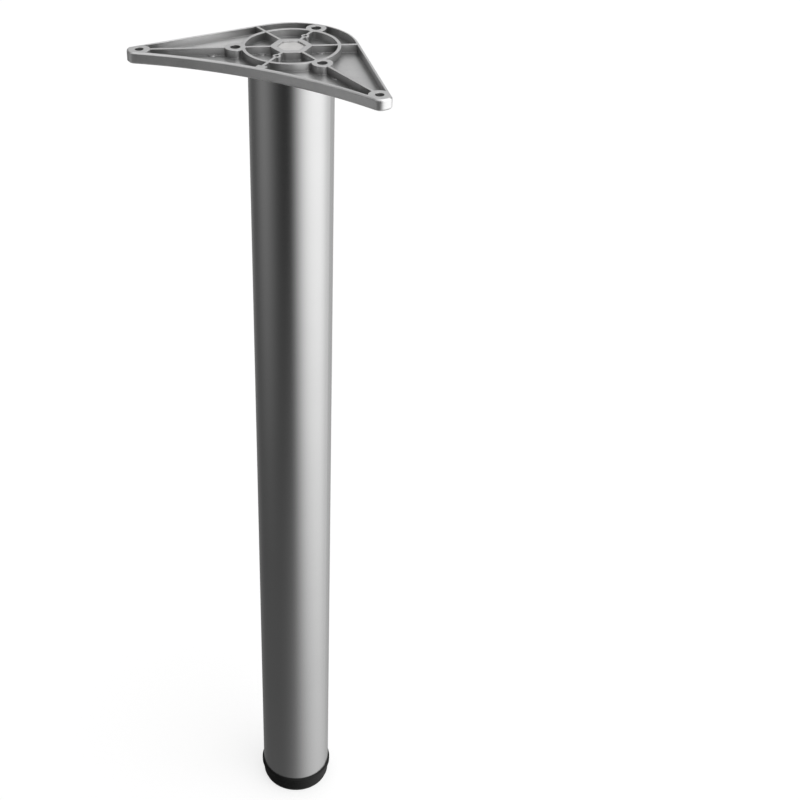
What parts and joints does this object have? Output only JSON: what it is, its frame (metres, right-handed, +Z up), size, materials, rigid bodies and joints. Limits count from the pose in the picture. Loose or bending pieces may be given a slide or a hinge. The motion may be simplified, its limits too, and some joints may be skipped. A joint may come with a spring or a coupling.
{
  "type": "table leg",
  "caption": "Round steel table leg with a ribbed die-cast corner plate for screwing under a table top and a screw-adjusted levelling foot.",
  "frame": {"origin": "on the tube's axis, on the floor under the levelling foot", "axes": "+Z up along the tube towards the table top, -Y towards the plate's hollow edge, +X along one arm side"},
  "size_m": [0.1962, 0.1059, 0.71],
  "materials": {
    "cast_metal": "matt as-cast",
    "satin_steel": "satin silver",
    "plated_steel": "bright zinc plating",
    "black_plastic": "moulded, semi-matt"
  },
  "bodies": {
    "leg": {"mounting_plate": "cast_metal", "plate_bolt": "plated_steel", "leg_tube": "satin_steel", "tube_insert": "plated_steel", "insert_nut": "plated_steel", "end_plug": "black_plastic", "plug_nut": "plated_steel"},
    "stud": {"levelling_stud": "plated_steel"},
    "foot": {"levelling_foot": "black_plastic"}
  },
  "joints": [
    {"name": "foot_travel", "type": "slide", "parent": "leg", "child": "stud", "axis": [0, 0, -1], "range_m": [0, 0.02]},
    {"name": "foot_turn", "type": "hinge", "parent": "stud", "child": "foot", "pos_m": [0, 0, 0], "axis": [0, 0, -1], "range_deg": [0, 4800]}
  ],
  "couplings": [
    {"joint": "foot_travel", "follows": "foot_turn", "m_per_rad": 0.00023873}
  ]
}
